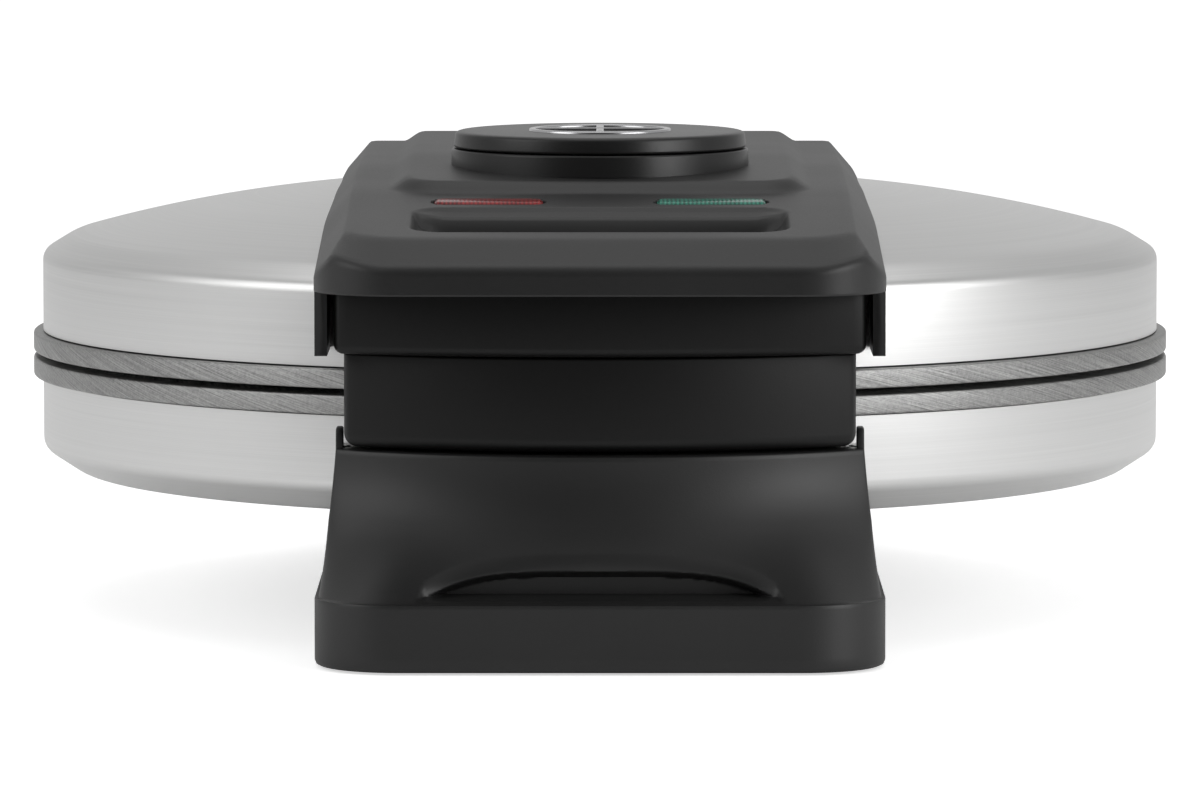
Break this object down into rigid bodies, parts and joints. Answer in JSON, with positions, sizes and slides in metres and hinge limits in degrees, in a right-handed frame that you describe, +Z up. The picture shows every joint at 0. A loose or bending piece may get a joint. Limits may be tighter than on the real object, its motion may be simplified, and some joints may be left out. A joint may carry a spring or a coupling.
{
  "type": "waffle maker",
  "caption": "Round electric waffle maker with a hinged lid, two cast grid plates, a front grip with indicator lamps, a browning dial and a flat foot.",
  "frame": {"origin": "on the table, below the centre of the round plates", "axes": "+Z up, front grip towards -Y, +X to the right seen from the front"},
  "size_m": [0.212, 0.262, 0.0897],
  "materials": {
    "black_plastic": "satin moulded black thermoplastic",
    "gloss_plastic": "smooth semi-gloss black",
    "brushed_steel": "fine brushed stainless",
    "cast_plate": "machined rim, cast grid",
    "plain_steel": "zinc plated",
    "heater_sheath": "oxidised sheath",
    "bright_trim": "bright",
    "red_lens": "tinted translucent",
    "green_lens": "tinted translucent",
    "lamp_glass": "clear envelope",
    "ceramic_body": "unglazed",
    "foot_rubber": "matt"
  },
  "bodies": {
    "base": {"base_housing": "black_plastic", "base_cover": "black_plastic", "lower_pan": "brushed_steel", "lower_grid_plate": "cast_plate", "lower_heating_element": "heater_sheath", "lower_heat_shield": "plain_steel", "terminal_block": "ceramic_body", "cord_gland": "foot_rubber", "foot_front_left": "foot_rubber", "foot_front_right": "foot_rubber", "foot_rear_left": "foot_rubber", "foot_rear_right": "foot_rubber", "cover_screw_1": "plain_steel", "cover_screw_2": "plain_steel", "cover_screw_3": "plain_steel", "cover_screw_4": "plain_steel", "hinge_pin_left": "plain_steel", "hinge_pin_right": "plain_steel"},
    "lid": {"lid_shell": "brushed_steel", "upper_grid_plate": "cast_plate", "upper_heating_element": "heater_sheath", "upper_heat_shield": "plain_steel", "lid_housing": "black_plastic", "grip_liner": "black_plastic", "front_guard": "black_plastic", "guard_screw_left": "plain_steel", "guard_screw_right": "plain_steel", "power_lens": "red_lens", "ready_lens": "green_lens", "power_lamp": "lamp_glass", "ready_lamp": "lamp_glass", "lamp_holder": "ceramic_body", "thermostat": "ceramic_body", "thermal_fuse": "plain_steel", "dial_collar": "gloss_plastic"},
    "knob": {"dial": "gloss_plastic", "dial_badge": "bright_trim", "dial_shaft": "plain_steel"}
  },
  "joints": [
    {"name": "lid_hinge", "type": "hinge", "parent": "base", "child": "lid", "pos_m": [0, 0.118, 0.04615], "axis": [-1, 0, 0], "range_deg": [0, 100]},
    {"name": "dial_turn", "type": "hinge", "parent": "lid", "child": "knob", "pos_m": [0, -0.038, 0.086], "axis": [0, 0, -1], "range_deg": [0, 270]}
  ]
}
